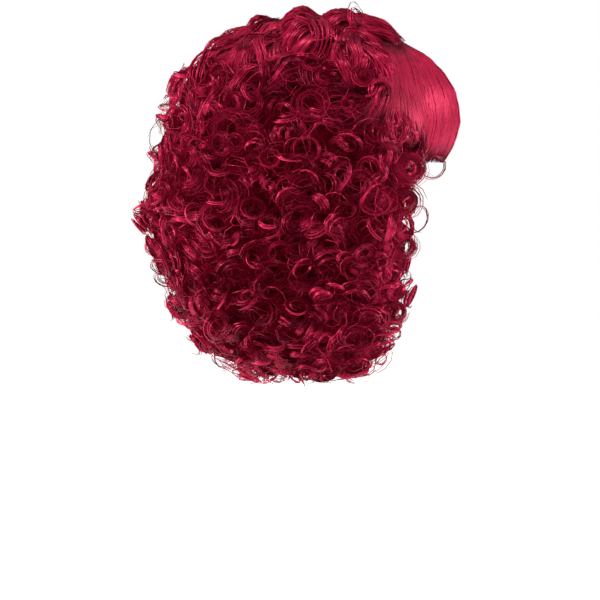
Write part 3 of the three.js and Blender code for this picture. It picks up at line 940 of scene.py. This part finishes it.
def gather(place, locks, pull, steps):
    """Draws each strand towards the middle of its lock on the way to its tip, by more in some locks than in
    others, and gives it its own height, part of it shared by the lock."""
    low, high = place.min(), place.max()
    middle = np.sort(rng.uniform(low, high, locks))
    lock_of = np.argmin(np.abs(place[:, None] - middle), axis=1)
    share = (pull * rng.uniform(0, 1, locks) ** 2)[lock_of, None] * np.linspace(0, 1, steps)
    stray = rng.normal(0, 0.004, (len(place), 1))
    drawn = place[:, None] + (middle[lock_of] - place)[:, None] * share + stray
    height = rng.uniform(-0.0009, 0.0006, locks)[lock_of] + rng.uniform(-0.0010, 0.0005, len(place))
    return drawn, height[:, None]


def combed(name, path, normal, tone, tip):
    """Fine strands along these paths, in one piece. They narrow over the last share of the path, the tip."""
    width = rng.triangular(0.0003, 0.0006, 0.0013, len(path))
    look = look_of(rng.normal(tone, 0.2, len(path)))
    batch = Strands()
    batch.add(path, normal, width, 0.4 * width + 0.0001, look, taper=(0.05, tip))
    return batch.piece(name)


def make_fringe():
    """Straight strands that fan out from the parting and fall in front: the share of the way across stays
    nearly the same along a strand, and the lift off the hollow follows the fringe's profile."""
    count, steps = 880, 9
    end, edge_share = 0.1105, 0.985
    place, own = gather(rng.uniform(-1, 1, count), 40, 0.30, steps)
    first = rng.uniform(0.009, 0.016, count)
    last = end + rng.uniform(-0.0025, 0.0025, count)
    depth = across(first, last, steps, 0.9)
    lift = np.interp(depth, FRINGE_DEPTH, FRINGE_LIFT)
    turn = place * fringe_turn(depth, lift) * edge_share
    path = hollow_surface(turn, depth, lift + own)
    path = path + wander((count,), steps, 0.0007)[..., None] * [1.0, 0.3, 0.0]
    normal = unit(path - hollow_surface(turn, depth, lift - 0.02))
    return combed("fringe_strands", path, normal, tone=0.6, tip=0.12)


def make_under_fringe():
    """The fringe's sheet behind its strands, between its outer and its inner lift."""
    depth = np.linspace(FRINGE_DEPTH[0], 0.1065, 24)
    lift, under = (np.interp(depth, FRINGE_DEPTH, table) for table in (FRINGE_LIFT - 0.0014, FRINGE_UNDER))
    turn = fringe_turn(depth, lift) * np.linspace(-0.98, 0.98, 40)[:, None]
    return wall("under_fringe", hollow_surface(turn, depth, lift), hollow_surface(turn, depth, under))


def temple_surface(side, place, depth, rise):
    """From the side edge of the fringe, at place 0, to the back of the straight hair, at place 1. Behind the
    edge it goes over smoothly to the hair's surface, lifted along the normal and by the rise."""
    edge_share, smooth = 0.95, 0.45
    lift = np.interp(depth, FRINGE_DEPTH, FRINGE_LIFT) + rise
    edge = hollow_surface(side * edge_share * fringe_turn(depth, lift), depth, lift)
    _, _, reach, square = outline_at(depth)
    edge_turn = np.arcsin(np.clip(np.abs(edge[..., 0]) / reach, 0, 1) ** (square / 2))
    turn = side * (edge_turn + (TEMPLE_BACK_TURN - edge_turn) * place)
    over = np.interp(depth, TEMPLE_DEPTH, TEMPLE_LIFT) + rise
    normal = hair_normal(turn, depth)
    surface = hair_surface(turn, depth) + normal * over[..., None]
    share = ramp(place, 0, smooth)
    share = (share**2 * (3 - 2 * share))[..., None]
    return edge + (surface - edge) * share, normal


def make_temple(name, side):
    """Straight strands from the parting to the temple, side by side with the fringe; those further back end
    higher up and sweep back into the curls, by the cube of their place times the square of the share of their
    length."""
    count, steps = 600, 9
    end, shorter, sweep = 0.108, 0.028, 0.45
    place, own = gather(rng.uniform(0, 1, count), 26, 0.3, steps)
    place = place + sweep * place**3 * np.linspace(0, 1, steps) ** 2
    first = rng.uniform(0.009, 0.016, count)
    last = end - shorter * place[:, 0] + rng.uniform(-0.008, 0.006, count)
    depth = across(first, last, steps)
    path, normal = temple_surface(side, place, depth, np.broadcast_to(own, depth.shape))
    path = path + wander((count,), steps, 0.0008)[..., None] * [0.3, 1.0, 0.0]
    # Painted shade: the strands further back are darker in tone
    return combed(name, path, normal, tone=0.55 - 0.2 * place[:, 0], tip=0.15)


def make_under_temple(name, side):
    """The sheet behind the strands of a temple."""
    first, end, shorter = 0.012, 0.102, 0.030
    place = np.linspace(0.0, 0.97, 14)[::side, None]
    depth = first + (end - shorter * place - first) * np.linspace(0, 1, 14)
    place, same = np.broadcast_to(place, depth.shape), np.ones(depth.shape)
    outer, inner = (temple_surface(side, place, depth, rise * same)[0] for rise in (-0.002, -0.005))
    return wall(name, outer, inner)


dress(make_fringe(), FRINGE_FIBRE, "fringe_hair", "fringe")
for side, hand in ((-1, "right"), (1, "left")):
    dress(make_temple(f"temple_strands_{hand}", side), FRINGE_FIBRE, "fringe_hair")
    dress(make_under_temple(f"under_temple_{hand}", side), UNDER_FRINGE, "fringe_hair")
dress(make_under_fringe(), UNDER_FRINGE, "fringe_hair")

# Floor, light and camera
FLOOR_LEVEL = -0.504
AIM = Vector((0, 0.034, -0.239))
CAMERA_TURN = math.radians(-93)
CAMERA_RISE = math.radians(4)
CAMERA_DISTANCE = 2.0
PICTURE_WIDTH = 0.552  # what the image spans at the wig
FLOOR_RADIUS = 3.0
SURROUND_LIGHT = 0.21


def make_floor():
    """A flat disc."""
    corners = 64
    angle = np.linspace(0, TURN, corners, endpoint=False)
    level = np.full(corners, FLOOR_LEVEL)
    rim = np.stack([FLOOR_RADIUS * np.cos(angle), FLOOR_RADIUS * np.sin(angle), level], -1)
    floor = put_mesh("floor", rim, [np.arange(corners)[None]])
    floor.data.materials.append(floor_paint())


def add_light(name, place, aim, size, power):
    """A soft round light, turned to what it is aimed at."""
    light = bpy.data.lights.new(name, "AREA")
    light.shape = "DISK"
    light.size = size
    light.energy = power
    lamp = bpy.data.objects.new(name, light)
    lamp.location = place
    lamp.rotation_euler = (Vector(aim) - Vector(place)).to_track_quat("-Z", "Y").to_euler()
    bpy.context.collection.objects.link(lamp)


def add_world():
    """A white surround, which lights the wig with a part of the brightness that it is seen with."""
    world = bpy.data.worlds.new("studio")
    world.use_nodes = True
    nodes, links = world.node_tree.nodes, world.node_tree.links
    seen = nodes["Background"]
    light = nodes.new("ShaderNodeBackground")
    mix = nodes.new("ShaderNodeMixShader")
    seen.inputs["Color"].default_value = (1, 1, 1, 1)
    light.inputs["Color"].default_value = (1, 1, 1, 1)
    light.inputs["Strength"].default_value = SURROUND_LIGHT
    links.new(nodes.new("ShaderNodeLightPath").outputs["Is Camera Ray"], mix.inputs[0])
    links.new(light.outputs[0], mix.inputs[1])
    links.new(seen.outputs[0], mix.inputs[2])
    links.new(mix.outputs[0], nodes["World Output"].inputs["Surface"])
    bpy.context.scene.world = world


def add_camera():
    """The camera looks at the aim from its turn and rise."""
    back = Vector((
        math.sin(CAMERA_TURN) * math.cos(CAMERA_RISE),
        -math.cos(CAMERA_TURN) * math.cos(CAMERA_RISE),
        math.sin(CAMERA_RISE),
    ))
    camera = bpy.data.cameras.new("camera")
    camera.sensor_width = 36
    camera.lens = camera.sensor_width * CAMERA_DISTANCE / PICTURE_WIDTH
    eye = bpy.data.objects.new("camera", camera)
    eye.location = AIM + back * CAMERA_DISTANCE
    eye.rotation_euler = back.to_track_quat("Z", "Y").to_euler()
    bpy.context.collection.objects.link(eye)
    bpy.context.scene.camera = eye


make_floor()
add_light("front", (-0.45, -1.88, 0.5), aim=(0, 0, -0.12), size=0.7, power=42)
add_light("top", (-0.3, 0.1, 1.7), aim=(0, 0.03, -0.12), size=0.6, power=25)
add_light("back", (-0.5, 1.82, 0.35), aim=(0, 0.05, -0.15), size=0.7, power=52)
add_light("left", (1.7, 0.1, -0.1), aim=(0, 0.03, -0.16), size=0.9, power=10)
add_world()
bpy.context.scene.view_settings.view_transform = "Standard"
add_camera()
